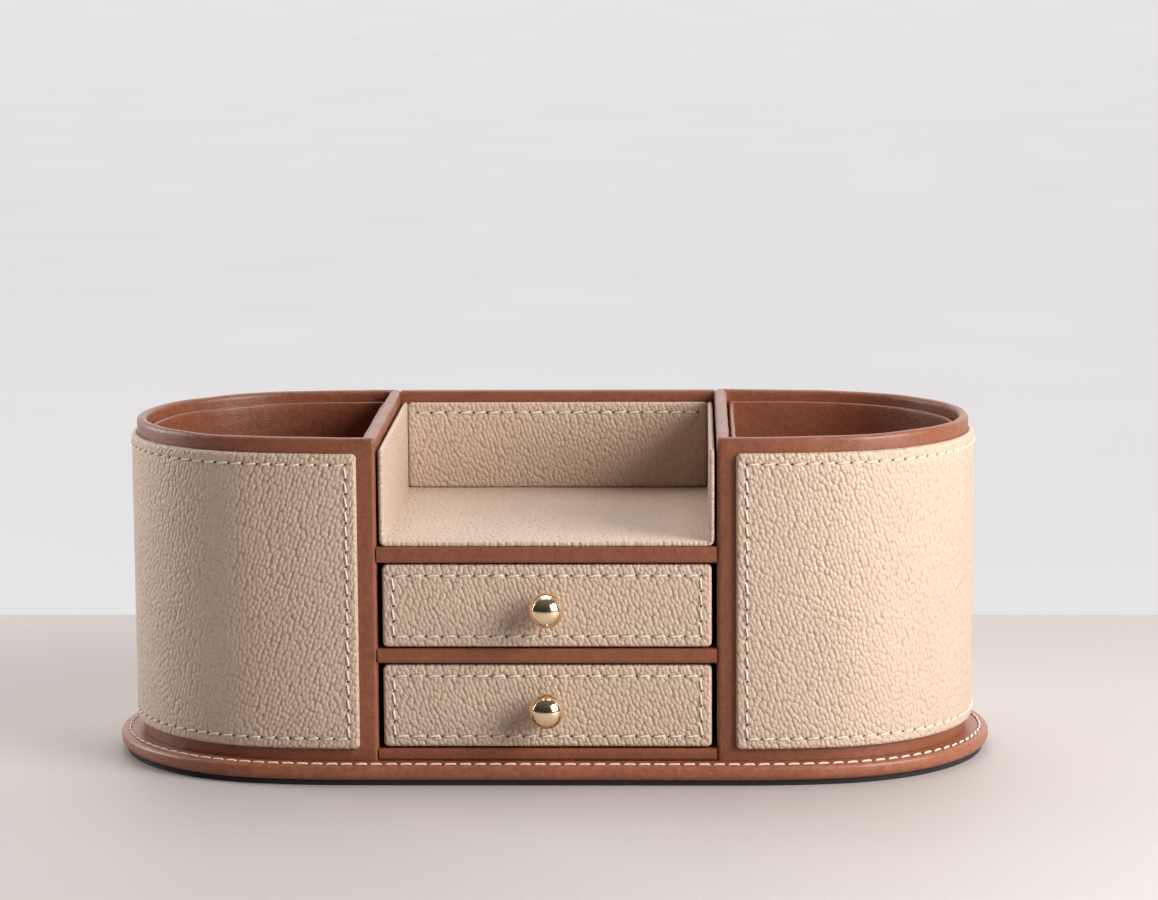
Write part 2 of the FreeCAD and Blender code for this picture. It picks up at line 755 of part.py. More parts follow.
def knob_screw(drawer, opening):
    """A pan-head screw from inside the drawer into the knob, with a cross recess."""
    body = new_body(f"{drawer}_knob_screw")
    sketch = new_sketch(body, "profile")
    shank_end = "- front_thickness - screw_bite"
    profile = (
        ("zero", shank_end),
        ("screw_radius", shank_end),
        ("screw_radius", "zero"),
        ("head_radius", "zero"),
        ("head_radius", "head_thickness"),
        ("zero", "head_thickness"),
    )
    draw_polygon(sketch, profile)
    add_revolution(body, sketch)
    head = mm["head_thickness"]
    add_fillet(
        body, "head_round", "head_round", lambda edge: near(edge.BoundBox.YMin, head) and near(edge.BoundBox.YMax, head)
    )
    arm, half = "recess_half_width", "recess_half"
    for name, across, up in (("flat_arm", half, arm), ("upright_arm", arm, half)):
        recess = new_sketch(body, name, "XZ_Plane", shift=(f"- {across}", f"- {up}", "- head_thickness"))
        draw_rectangle(recess, f"{across} + {across}", f"{up} + {up}")
        add_pocket(body, recess, "recess_depth", reverse=True)
    place(body, "zero", "- half_depth + front_thickness", f"{opening} + front_low_gap + front_half_height")
    return keep(body, f"{drawer}_knob_screw")


# ---- the whole organizer


def build():
    write_sheet()
    sole = non_slip_pad()
    core = base_board()
    base_cover(core, sole)
    for side, half_turn in (("right", False), ("left", True)):
        cup_shell(side, half_turn)
        cup_floor(side, half_turn)
        cup_liner(side, half_turn)
        panel = wrap_panel_board(side, half_turn)
        wrap_panel_leather(side, half_turn, panel)
    back_wall()
    shelf("bottom_shelf", "bottom_shelf_thickness", BASE_TOP)
    shelf("middle_shelf", "middle_shelf_thickness", MIDDLE_SHELF)
    shelf("tray_shelf", "tray_shelf_thickness", TRAY_SHELF)
    tray_liner()
    tray_back_liner()
    for drawer, opening in (("lower_drawer", LOWER_OPENING), ("upper_drawer", UPPER_OPENING)):
        panel = front_board(drawer, opening)
        front_leather(drawer, opening, panel)
        drawer_box(drawer, opening)
        knob(drawer, opening)
        knob_screw(drawer, opening)


def check_document():
    """Stop on any failed object or bad shape, before anything is written."""
    doc.recompute()
    for item in doc.Objects:
        assert "Invalid" not in item.State and "Error" not in item.State, item.Label
    for item in subparts:
        shape = item.Shape
        assert not shape.isNull() and shape.isValid() and len(shape.Solids) == 1, item.Label


def write_files():
    os.makedirs("parts", exist_ok=True)
    for item in subparts:
        item.Shape.exportStep(f"parts/{item.Label}.step")
        box = item.Shape.BoundBox
        low = f"{box.XMin:.2f} {box.YMin:.2f} {box.ZMin:.2f}"
        high = f"{box.XMax:.2f} {box.YMax:.2f} {box.ZMax:.2f}"
        print(f"{item.Label}: {item.Shape.Volume:.0f} mm3, {low} to {high}")


build()
check_document()
write_files()
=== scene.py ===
import math

import bpy
from mathutils import Matrix, Vector, noise


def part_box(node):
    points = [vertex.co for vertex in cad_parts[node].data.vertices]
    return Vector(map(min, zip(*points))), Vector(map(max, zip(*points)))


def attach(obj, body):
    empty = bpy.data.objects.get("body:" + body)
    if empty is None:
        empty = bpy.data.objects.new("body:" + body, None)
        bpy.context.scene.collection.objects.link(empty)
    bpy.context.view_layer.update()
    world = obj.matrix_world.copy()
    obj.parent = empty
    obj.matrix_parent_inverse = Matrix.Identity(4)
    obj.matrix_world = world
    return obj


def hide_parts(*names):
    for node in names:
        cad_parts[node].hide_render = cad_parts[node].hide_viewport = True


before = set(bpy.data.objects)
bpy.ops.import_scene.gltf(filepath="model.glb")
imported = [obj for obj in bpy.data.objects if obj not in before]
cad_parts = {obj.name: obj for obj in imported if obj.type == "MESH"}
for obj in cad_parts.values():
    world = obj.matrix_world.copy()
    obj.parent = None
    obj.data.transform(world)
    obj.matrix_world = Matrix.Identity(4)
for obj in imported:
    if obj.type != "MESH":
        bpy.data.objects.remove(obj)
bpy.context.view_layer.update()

# Everything is in metres and in the frame's own axes: X to the right, Y to the back, Z up.
MM = 0.001

# ---- places read from the frame

SHELL_LOW, SHELL_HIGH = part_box("right_cup_shell")
PANEL_LOW, PANEL_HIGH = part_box("right_wrap_panel_leather")
BASE_LOW, BASE_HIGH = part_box("base_cover")
TRAY_LOW, TRAY_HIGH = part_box("tray_liner")
BACK_LOW, BACK_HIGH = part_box("tray_back_liner")

HALF_DEPTH = SHELL_HIGH.y
HALF_LENGTH = SHELL_HIGH.x
BASE_MARGIN = BASE_HIGH.x - HALF_LENGTH
COVER = BASE_HIGH.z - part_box("base_board")[1].z

# ---- sizes of the design that no box gives

FLAT_HALF = 72 * MM
CURVE_RADIUS = 180 * MM
CUP_WALL = 3.6 * MM
PARTITION = 4.5 * MM
RIM_ROUND = 1.6 * MM
POST_ROUND = 1.7 * MM
LINER_THICKNESS = 1.8 * MM
LINER_ROUND = 0.85 * MM
TRAY_BEND = 2.6 * MM
COVER_TOP_ROUND = 1.6 * MM
COVER_LOW_ROUND = 3.0 * MM
COVER_TURN_IN = 12 * MM
COVER_UNDER_WALLS = 8 * MM
LEATHER = 0.9 * MM
LEATHER_CORNER = 1.8 * MM
LEATHER_ROUND = 1.3 * MM
KNOB_NECK = 2.9 * MM
KNOB_FOOT = 3.9 * MM
KNOB_FOOT_THICKNESS = 0.8 * MM
KNOB_CORNER = 0.25 * MM

# ---- lamps and camera: places in metres, sizes in metres, power in watts, angles in degrees

LAMPS = (
    ("key", (1.0, -0.64, 0.60), 0.8, 15.0, (1.0, 1.0, 1.0)),
    ("near_key", (0.6, -0.36, 0.36), 0.45, 3.0, (1.0, 1.0, 1.0)),
    ("fill", (-0.9, 0.25, 0.36), 0.5, 5.2, (0.99, 0.99, 1.0)),
    ("overhead", (0.0, 0.45, 1.3), 1.0, 6.5, (1.0, 1.0, 1.0)),
)
LAMP_AIM = Vector((0, 0, 0.06))
ROOM_LOBES = (((0, 1, 0.2), 1.5), ((0, 0, 1), 0.12))
ROOM_REST = 0.03
CAMERA_PLACE = (0.0519, -1.413, 0.3279)
CAMERA_ANGLES = (-1.694, 8.663, -0.338)
SENSOR_WIDTH = 36.0
FOCAL_LENGTH = 117.67
FARTHEST_SEEN = 60.0

# ---- stitching

STITCH_INSET = 3.9 * MM
BASE_STITCH_INSET = 3.3 * MM
PANEL_PITCH = 5.4 * MM
DRAWER_PITCH = 5.9 * MM
BASE_PITCH = 5.4 * MM
THREAD_RADIUS = 0.38 * MM
THREAD_SLANT = 0.6 * MM
THREAD_START = 0.05
THREAD_REACH = 0.79
BASE_THREAD_REACH = 0.9
HOLE_HALF = 0.62 * MM
HOLE_DEPTH = 0.7 * MM
GROOVE_DEPTH = 0.16 * MM
GROOVE_HALF = 0.9 * MM
TOUCH = 0.01 * MM

# ---- the stage

TABLE_END = 0.249
STAGE_REACH = 14.0

# ---- names that meshes and materials share

GRAIN_UV = "grain"
HOLE_LAYER = "needle_hole"
CARCASS = "carcass"
DRAWERS = ("lower_drawer", "upper_drawer")
SIDES = (("right", False), ("left", True))
UP = Vector((0, 0, 1))


# ---- meshes


class Patchwork:
    """A mesh in the making. Each face corner has a mark: its place on the leather, in metres."""

    def __init__(self):
        self.points = []
        self.holes = []
        self.faces = []
        self.marks = []

    def add_points(self, places, holes=None):
        """Add points, and say how much each of them is a needle hole. Returns the first one's number."""
        first = len(self.points)
        self.points.extend(places)
        self.holes.extend(holes or [0.0] * len(places))
        return first

    def add_face(self, corners, marks):
        self.faces.append(tuple(corners))
        self.marks.extend(marks)

    def add_cap(self, corners):
        """A flat end."""
        corners = list(corners)
        self.add_face(corners, [(0.0, 0.0)] * len(corners))

    def add_grid(self, places, marks, holes=None, loop_columns=False, loop_rows=False):
        """Add places[column][row] with faces between. A looped way has one more mark than places."""
        columns, rows = len(places), len(places[0])
        first = len(self.points)
        for number, column in enumerate(places):
            self.add_points(column, holes and holes[number])
        for i in range(columns if loop_columns else columns - 1):
            for j in range(rows if loop_rows else rows - 1):
                ring = ((i, j), (i + 1, j), (i + 1, j + 1), (i, j + 1))
                corners = [first + a % columns * rows + b % rows for a, b in ring]
                self.add_face(corners, [marks[a][b] for a, b in ring])
        return first

    def mirror(self):
        """Swap left and right, with every face turned to look outwards again."""
        self.points = [Vector((-point.x, point.y, point.z)) for point in self.points]
        turned = []
        start = 0
        for face in self.faces:
            turned.extend(reversed(self.marks[start : start + len(face)]))
            start += len(face)
        self.faces = [tuple(reversed(face)) for face in self.faces]
        self.marks = turned

    def build(self, name, material, body, slot, replaces=(), mirrored=False):
        """The Blender object, riding on its body."""
        if mirrored:
            self.mirror()
        mesh = bpy.data.meshes.new(name)
        mesh.from_pydata([tuple(point) for point in self.points], [], self.faces)
        grain = mesh.uv_layers.new(name=GRAIN_UV)
        grain.data.foreach_set("uv", [number for mark in self.marks for number in mark])
        holes = mesh.attributes.new(HOLE_LAYER, "FLOAT", "POINT")
        holes.data.foreach_set("value", self.holes)
        mesh.polygons.foreach_set("use_smooth", [True] * len(mesh.polygons))
        mesh.materials.append(material)
        mesh.update()
        piece = bpy.data.objects.new(name, mesh)
        bpy.context.scene.collection.objects.link(piece)
        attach(piece, body)
        if replaces:
            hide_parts(*replaces)
        return piece


def thicken(piece, thickness):
    """Give a skin its thickness, inwards."""
    solid = piece.modifiers.new("thickness", "SOLIDIFY")
    solid.thickness = thickness
    solid.offset = -1


def wobble(place, size, seed):
    """A smooth number about zero for a place, the same on each run."""
    return noise.noise(Vector(place) / size + Vector((17.3, 5.1, 9.7)) * seed)


def distances(places):
    """The length along a line of places up to each of them."""
    found = [0.0]
    for before, after in zip(places, places[1:]):
        found.append(found[-1] + (after - before).length)
    return found


def quarter(steps):
    """Sine and cosine from 0 to 90 degrees."""
    turns = [math.pi / 2 * k / steps for k in range(steps + 1)]
    return [(math.sin(turn), math.cos(turn)) for turn in turns]


def without_near(lines, least=0.12 * MM):
    """The lines in order, without those that nearly touch the one before."""
    ordered = sorted(lines)
    kept = [ordered[0]]
    for line in ordered[1:]:
        if line - kept[-1] > least:
            kept.append(line)
    kept[-1] = ordered[-1]
    return kept


# ---- the outline in plan


class RoundEnd:
    """The right end's outline, from x = start at the front, round the end, to x = start at the back.

    at(s) gives the place in plan and the way outwards, a length s along the outline.
    """

    def __init__(self, start, outwards=0.0):
        tail = HALF_LENGTH - FLAT_HALF
        drop = CURVE_RADIUS - HALF_DEPTH
        end = (CURVE_RADIUS**2 - tail**2 - drop**2) / (2 * (CURVE_RADIUS - tail))
        self.curve_centre = Vector((FLAT_HALF, drop))
        self.end_centre = Vector((HALF_LENGTH - end, 0))
        self.lean = math.asin((self.end_centre.x - FLAT_HALF) / (CURVE_RADIUS - end))
        self.start = start
        self.outwards = outwards
        self.curve = CURVE_RADIUS + outwards
        self.end = end + outwards
        self.flat = FLAT_HALF - start
        self.bend = self.lean * self.curve
        self.length = 2 * (self.flat + self.bend) + (math.pi - 2 * self.lean) * self.end

    def at(self, s):
        if s > self.length / 2:
            place, out = self.at(self.length - s)
            return Vector((place.x, -place.y)), Vector((out.x, -out.y))
        if s <= self.flat:
            return Vector((self.start + s, -HALF_DEPTH - self.outwards)), Vector((0, -1))
        if s <= self.flat + self.bend:
            turn = (s - self.flat) / self.curve
            radius, centre = self.curve, self.curve_centre
        else:
            turn = self.lean + (s - self.flat - self.bend) / self.end
            radius, centre = self.end, self.end_centre
        out = Vector((math.sin(turn), -math.cos(turn)))
        return centre + out * radius, out


class Straight:
    """A straight face that looks forwards, between two values of x."""

    def __init__(self, low_x, high_x, y):
        self.low_x = low_x
        self.y = y
        self.length = high_x - low_x

    def at(self, s):
        return Vector((self.low_x + s, self.y)), Vector((0, -1))


# ---- stitches


def add_stitch(work, start, end, out, reach, slant):
    """One thread that comes up through a hole, lies on the leather and goes down the next hole."""
    sides, rings = 8, 9
    span = end - start
    across = out.cross(span).normalized()
    turns = [2 * math.pi * k / sides for k in range(sides)]
    places, marks = [], []
    for ring in range(rings):
        t = ring / (rings - 1)
        dip = abs(2 * t - 1) ** 6
        lift = THREAD_RADIUS * (0.75 - 2.25 * dip)
        size = THREAD_RADIUS * (1 - 0.35 * dip)
        centre = start.lerp(end, THREAD_START + reach * t) + out * lift + across * slant * (t - 0.5)
        places.append([centre + (across * math.cos(turn) - out * math.sin(turn)) * size for turn in turns])
        marks.append([(t * span.length, 2 * math.pi * size * k / sides) for k in range(sides + 1)])
    first = work.add_grid(places, marks, loop_rows=True)
    last = first + (rings - 1) * sides
    work.add_cap(range(first, first + sides))
    work.add_cap(reversed(range(last, last + sides)))


def stitch(name, runs, body, reach, mirrored=False):
    """One piece for all stitches.

    A run is a list of (hole, way outwards) in order. reach is each thread's length as a share of the pitch.
    Threads of a mirrored piece are given the other lean first, so that all threads lean the same way.
    """
    work = Patchwork()
    slant = -THREAD_SLANT if mirrored else THREAD_SLANT
    for run in runs:
        for (start, out), (end, next_out) in zip(run, run[1:]):
            add_stitch(work, start, end, (out + next_out).normalized(), reach, slant)
    work.build(name, THREAD, body, "beige_leather", mirrored=mirrored)


def even_holes(length, inset, pitch):
    """Needle holes between two corner holes, as near to the pitch as they divide evenly."""
    count = max(1, round((length - 2 * inset) / pitch))
    return [inset + (length - 2 * inset) * k / count for k in range(count + 1)]


def hole_lines(holes):
    """Mesh lines that a row of needle holes needs: three at each hole, and one between each two."""
    lines = {hole + shift for hole in holes for shift in (-HOLE_HALF, 0, HOLE_HALF)}
    return lines | {(before + after) / 2 for before, after in zip(holes, holes[1:])}


def groove(gap):
    """How deep a thread has pulled the leather in, at a distance from its row."""
    return GROOVE_DEPTH * math.exp(-((1.4 * gap / GROOVE_HALF) ** 2))


def nearest(value, choices):
    """The distance from a value to the nearest choice."""
    return min((abs(value - choice) for choice in choices), default=1.0)


# ---- leather turned over the edges of a board


class TurnedLeather:
    """A leather face that stands proud of a track, turned over its board's edges.

    rows says which of its sides have a stitch row: "low", "high" and "ends".
    """

    def __init__(self, track, low_z, high_z, proud, pitch, rows):
        self.track = track
        self.low_z = low_z
        self.proud = proud
        self.length = track.length
        self.height = high_z - low_z
        self.holes_s = even_holes(self.length, STITCH_INSET, pitch)
        self.holes_z = even_holes(self.height, STITCH_INSET, pitch)
        level = (("low", self.holes_z[0]), ("high", self.holes_z[-1]))
        self.level_rows = [z for side, z in level if side in rows]
        self.upright_rows = [self.holes_s[0], self.holes_s[-1]] if "ends" in rows else []
        self.lines_s = self.mesh_lines(self.length, self.holes_s)
        self.lines_z = self.mesh_lines(self.height, self.holes_z)

    def mesh_lines(self, length, holes):
        """Lines across the face: close together over its turned edges and beside its stitch rows."""
        steps = [LEATHER_ROUND * (1 - cosine) for _, cosine in quarter(5)]
        steps += [1.7 * MM, 2.4 * MM, STITCH_INSET - GROOVE_HALF, STITCH_INSET + GROOVE_HALF, 6.2 * MM]
        lines = {place for step in steps for place in (step, length - step)}
        return without_near(lines | hole_lines(holes))

    def at(self, s, z, out):
        """The place in space, out from the track, with the face's corners rounded."""
        over_s = LEATHER_CORNER - min(s, self.length - s)
        over_z = LEATHER_CORNER - min(z, self.height - z)
        if over_s > 0 and over_z > 0:
            pull = 1 - max(over_s, over_z) / math.hypot(over_s, over_z)
            s += math.copysign(over_s * pull, self.length / 2 - s)
            z += math.copysign(over_z * pull, self.height / 2 - z)
        place, outwards = self.track.at(s)
        place = place + outwards * out
        return Vector((place.x, place.y, self.low_z + z))

    def is_hole(self, s, z):
        level = nearest(z, self.level_rows) < TOUCH and nearest(s, self.holes_s) < TOUCH
        upright = nearest(s, self.upright_rows) < TOUCH and nearest(z, self.holes_z) < TOUCH
        return level or upright

    def surface(self, s, z, seed):
        """The leather's place: turned over the edge, pulled in by its thread, and a little uneven."""
        edge = min(s, self.length - s, z, self.height - z)
        out = self.proud + 0.08 * MM * wobble((s, z, 0), 16 * MM, seed) * min(1.0, edge / (5 * MM))
        if edge < LEATHER_ROUND:
            out -= LEATHER_ROUND - math.sqrt(LEATHER_ROUND**2 - (LEATHER_ROUND - edge) ** 2)
        if self.holes_s[0] - MM < s < self.holes_s[-1] + MM:
            out -= groove(nearest(z, self.level_rows))
        if self.holes_z[0] - MM < z < self.holes_z[-1] + MM:
            out -= groove(nearest(s, self.upright_rows))
        if self.is_hole(s, z):
            out -= HOLE_DEPTH
        return self.at(s, z, out)

    def border(self):
        """The numbers of the outermost lines' crossings, in order round the face."""
        last_s, last_z = len(self.lines_s) - 1, len(self.lines_z) - 1
        ring = [(i, 0) for i in range(last_s)]
        ring += [(last_s, j) for j in range(last_z)]
        ring += [(i, last_z) for i in range(last_s, 0, -1)]
        return ring + [(0, j) for j in range(last_z, 0, -1)]

    def build(self, name, body, replaces, mirrored=False):
        """The leather, and its stitches as a second piece."""
        work = Patchwork()
        rows = len(self.lines_z)
        places = [[self.surface(s, z, len(name)) for z in self.lines_z] for s in self.lines_s]
        marks = [[(s, z) for z in self.lines_z] for s in self.lines_s]
        holes = [[float(self.is_hole(s, z)) for z in self.lines_z] for s in self.lines_s]
        work.add_grid(places, marks, holes)
        border = self.border()
        foot = work.add_points([self.at(self.lines_s[i], self.lines_z[j], 0) for i, j in border])
        for number, (i, j) in enumerate(border):
            after = (number + 1) % len(border)
            next_i, next_j = border[after]
            corners = (i * rows + j, foot + number, foot + after, next_i * rows + next_j)
            work.add_face(corners, (marks[i][j], marks[i][j], marks[next_i][next_j], marks[next_i][next_j]))
        piece = work.build(name, BEIGE_LEATHER, body, "beige_leather", replaces, mirrored)
        thicken(piece, LEATHER)
        runs = [[self.hole(s, z) for s in self.holes_s] for z in self.level_rows]
        runs += [[self.hole(s, z) for z in self.holes_z] for s in self.upright_rows]
        stitch(f"{name}_stitches", runs, body, THREAD_REACH, mirrored)

    def hole(self, s, z):
        """Where the thread goes in, and the way outwards there."""
        _, outwards = self.track.at(s)
        return self.at(s, z, self.proud - GROOVE_DEPTH), Vector((outwards.x, outwards.y, 0))


# ---- cup walls and liners


def arc(centre, radius, start, end, steps):
    """Places round part of a circle in plan, both ends included. Angles in degrees."""
    turns = [math.radians(start + (end - start) * k / steps) for k in range(steps + 1)]
    return [centre + Vector((math.cos(turn), math.sin(turn))) * radius for turn in turns]


def cup_plan(inset, near_x, corner):
    """A cup's closed outline in plan, drawn in by inset, with its straight side at near_x.

    It has the same number of places whatever its size, so that two of them can be joined up.
    """
    wall_steps, corner_steps, curve_steps = 44, 5, 150
    half = HALF_DEPTH - inset
    straight = half - corner
    turn_x = near_x + corner
    plan = [Vector((near_x, straight * (1 - 2 * k / wall_steps))) for k in range(wall_steps)]
    plan += arc(Vector((turn_x, -straight)), corner, 180, 270, corner_steps)
    flat = [turn_x + (FLAT_HALF - turn_x) * k / 3 for k in (1, 2)]
    plan += [Vector((x, -half)) for x in flat]
    curve = RoundEnd(FLAT_HALF)
    for k in range(curve_steps + 1):
        place, out = curve.at(curve.length * k / curve_steps)
        plan.append(place - out * inset)
    plan += [Vector((x, half)) for x in reversed(flat)]
    plan += arc(Vector((turn_x, straight)), corner, 90, 180, corner_steps)[:-1]
    return plan


def wall_section(thickness, low, high, edge):
    """A wall's section from its outer foot, over its rounded top, to its inner foot, as (inset, z)."""
    foot = high - low
    close_to_foot = [foot - 0.3 * MM, foot - 0.8 * MM]
    below_rim = [40 * MM, 22 * MM, 14 * MM, 9 * MM, 6 * MM, 4 * MM, 2.6 * MM]
    drops = [foot] + close_to_foot + below_rim
    rise = [(0.0, high - drop) for drop in drops]
    rise += [(edge * (1 - cosine), high - edge * (1 - sine)) for sine, cosine in quarter(5)]
    fall = [(thickness - inset, z) for inset, z in reversed(rise)]
    return rise + fall


def round_wall(side, part, mirrored, thickness, near_thickness, edge, softness):
    """A leatherette-wrapped wall all round a cup, its top edge soft and a little uneven."""
    low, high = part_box(f"right_{part}")
    outset = HALF_LENGTH - high.x
    seed = len(side + part)
    rings = []
    for inset, z in wall_section(thickness, low.z, high.z, edge):
        corner = max(POST_ROUND - inset, 0.5 * MM)
        near_top = max(0.0, 1 - (high.z - z) / (16 * MM)) ** 2
        ring = []
        for place in cup_plan(outset + inset, low.x + inset * near_thickness / thickness, corner):
            spot = Vector((place.x, place.y, z))
            shift = Vector([wobble(spot, size, seed + size * 100) for size in (0.011, 0.013, 0.017)])
            ring.append(spot + shift * softness * near_top)
        rings.append(ring)
    columns = [list(column) for column in zip(*rings)]
    around = distances(rings[0] + rings[0][:1])
    over = distances(columns[0] + columns[0][:1])
    work = Patchwork()
    work.add_grid(columns, [[(u, v) for v in over] for u in around], loop_columns=True, loop_rows=True)
    replaced = (f"{side}_{part}",)
    work.build(f"soft_{side}_{part}", LEATHERETTE, CARCASS, "brown_leatherette", replaced, mirrored)


# ---- base cover


def base_section():
    """The cover's section as (out from its stitch row, z): in below, round the edge, and in on top."""
    top, low, edge = BASE_HIGH.z, BASE_LOW.z, BASE_STITCH_INSET
    section = [(edge - COVER_TURN_IN, low)]
    section += [(edge - COVER_LOW_ROUND * (1 - s), low + COVER_LOW_ROUND * (1 - c)) for s, c in quarter(6)]
    section += [(edge - COVER_TOP_ROUND * (1 - c), top - COVER_TOP_ROUND * (1 - s)) for s, c in quarter(6)]
    for out in (1.5 * MM, GROOVE_HALF, HOLE_HALF, 0.0, -HOLE_HALF, -GROOVE_HALF, -1.5 * MM, -2.6 * MM):
        section.append((out, top - groove(out)))
    section += [(edge - BASE_MARGIN, top), (edge - BASE_MARGIN - COVER_UNDER_WALLS, top)]
    return section


def base_cover():
    """The leatherette round the base board, with its row of stitches on top."""
    row = RoundEnd(0, BASE_MARGIN - BASE_STITCH_INSET)
    count = round(row.length / BASE_PITCH)
    holes = [row.length * k / count for k in range(count)]
    lines = [line for line in hole_lines(holes) if line >= 0]
    lines += [row.length - HOLE_HALF, (holes[-1] + row.length) / 2]
    spots = [(s, *row.at(s)) for s in without_near(lines)]
    spots += [(row.length + s, -place, -out) for s, place, out in spots]
    section = base_section()
    over = distances([Vector(corner) for corner in section])
    places, pits = [], []
    for s, place, out in spots:
        on_hole = nearest(s % row.length, holes) < TOUCH
        column, pit = [], []
        for outwards, z in section:
            spot = place + out * outwards
            sunk = on_hole and outwards == 0
            column.append(Vector((spot.x, spot.y, z - HOLE_DEPTH * sunk)))
            pit.append(float(sunk))
        places.append(column)
        pits.append(pit)
    around = [s for s, _, _ in spots] + [2 * row.length]
    work = Patchwork()
    work.add_grid(places, [[(s, v) for v in over] for s in around], pits, loop_columns=True)
    work.add_cap((column + 1) * len(section) - 1 for column in range(len(spots)))
    replaced = ("base_cover",)
    cover = work.build("soft_base_cover", LIT_BASE_LEATHERETTE, CARCASS, "brown_leatherette", replaced)
    thicken(cover, COVER)
    run = [row.at(s)[0] for s in holes]
    run += [-place for place in run]
    run = [(Vector((place.x, place.y, BASE_HIGH.z - GROOVE_DEPTH)), UP) for place in run + run[:1]]
    stitch("base_stitches", [run], CARCASS, BASE_THREAD_REACH)


# ---- tray liner


def tray_path():
    """The middle of the liner's sheet in X and Z, down a wall, across, and up, each with the way inside."""
    half = LINER_THICKNESS / 2
    bend = TRAY_BEND - half
    low_x, low_z = TRAY_LOW.x + half, TRAY_LOW.z + half
    steps = 10
    wall = TRAY_HIGH.z - low_z - bend
    path = [(Vector((low_x, TRAY_HIGH.z - wall * k / steps)), Vector((1, 0))) for k in range(steps)]
    for s, c in quarter(6):
        path.append((Vector((low_x + bend * (1 - c), low_z + bend * (1 - s))), Vector((c, s))))
    path += [(Vector(((low_x + bend) * (1 - k / steps), low_z)), Vector((0, 1))) for k in range(1, steps)]
    return path + [(Vector((-place.x, place.y)), Vector((-way.x, way.y))) for place, way in reversed(path)]


def sheet_lines(length):
    """Places along a sheet, close together where its ends are rounded."""
    ends = {LINER_ROUND * (1 - cosine) for _, cosine in quarter(5)}
    inner = {length * k / 14 for k in range(1, 14)}
    return ends | {length - end for end in ends} | inner


def tray_liner():
    """One soft sheet up both sides and over the floor of the tray, all its edges rolled."""
    path = tray_path()
    along = distances([place for place, _ in path])
    depth = TRAY_HIGH.y - TRAY_LOW.y
    lines_s = without_near(sheet_lines(along[-1]) | set(along), 0.02 * MM)
    lines_y = without_near(sheet_lines(depth), 0.02 * MM)
    around = [(y, 1) for y in lines_y] + [(y, -1) for y in reversed(lines_y)]

    def on_path(s):
        k = max(number for number, start in enumerate(along[:-1]) if start <= s)
        t = (s - along[k]) / (along[k + 1] - along[k])
        return path[k][0].lerp(path[k + 1][0], t), path[k][1].lerp(path[k + 1][1], t).normalized()

    places = []
    for s in lines_s:
        place, way = on_path(s)
        column = []
        for y, side in around:
            edge = min(s, along[-1] - s, y, depth - y)
            thin = max(0.0, 1 - edge / LINER_ROUND)
            out = side * LINER_THICKNESS / 2 * max(0.04, math.sqrt(1 - thin**2))
            out += 0.18 * MM * wobble((s, y, 0), 18 * MM, 3) * (1 - thin)
            spot = place + way * out
            column.append(Vector((spot.x, TRAY_LOW.y + y, spot.y)))
        places.append(column)
    rows = len(around)
    work = Patchwork()
    work.add_grid(places, [[(s, y) for y, _ in around + around[:1]] for s in lines_s], loop_rows=True)
    last = (len(lines_s) - 1) * rows
    work.add_cap(range(rows))
    work.add_cap(reversed(range(last, last + rows)))
    work.build("soft_tray_liner", BEIGE_LEATHER, CARCASS, "beige_leather", ("tray_liner",))


# ---- knobs


def knob(drawer):
    """The ball knob on its neck, turned on a lathe."""
    low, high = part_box(f"{drawer}_knob")
    ball = (high.x - low.x) / 2
    centre_y, centre_z = low.y + ball, (low.z + high.z) / 2
    neck_start = high.y - KNOB_FOOT_THICKNESS
    start = math.asin(KNOB_NECK / ball)
    tip = 0.02 * MM
    profile = [(tip, high.y), (KNOB_FOOT - KNOB_CORNER, high.y), (KNOB_FOOT, high.y - KNOB_CORNER)]
    for s, c in quarter(4):
        profile.append((KNOB_FOOT - KNOB_CORNER * (1 - c), neck_start + KNOB_CORNER * (1 - s)))
    profile += [(KNOB_NECK + KNOB_CORNER, neck_start), (KNOB_NECK, neck_start - KNOB_CORNER)]
    profile.append((KNOB_NECK, centre_y + ball * math.cos(start) + KNOB_CORNER))
    for k in range(25):
        turn = start + (math.pi - start) * k / 24
        profile.append((max(ball * math.sin(turn), tip), centre_y + ball * math.cos(turn)))
    sides = 48
    turns = [2 * math.pi * k / sides for k in range(sides)]
    places = []
    for r, y in profile:
        places.append([Vector((r * math.sin(turn), y, centre_z + r * math.cos(turn))) for turn in turns])
    over = distances([Vector(corner) for corner in profile])
    work = Patchwork()
    work.add_grid(places, [[(v, ball * k / sides) for k in range(sides + 1)] for v in over], loop_rows=True)
    last = (len(profile) - 1) * sides
    work.add_cap(range(sides))
    work.add_cap(reversed(range(last, last + sides)))
    work.build(f"{drawer}_ball_knob", BRASS, drawer, "brass", (f"{drawer}_knob",))


# ---- materials


def shade(red, green, blue):
    """A colour from its display values, 0 to 255."""
    parts = [value / 255 for value in (red, green, blue)]
    parts = [part / 12.92 if part <= 0.04045 else ((part + 0.055) / 1.055) ** 2.4 for part in parts]
    return (*parts, 1.0)


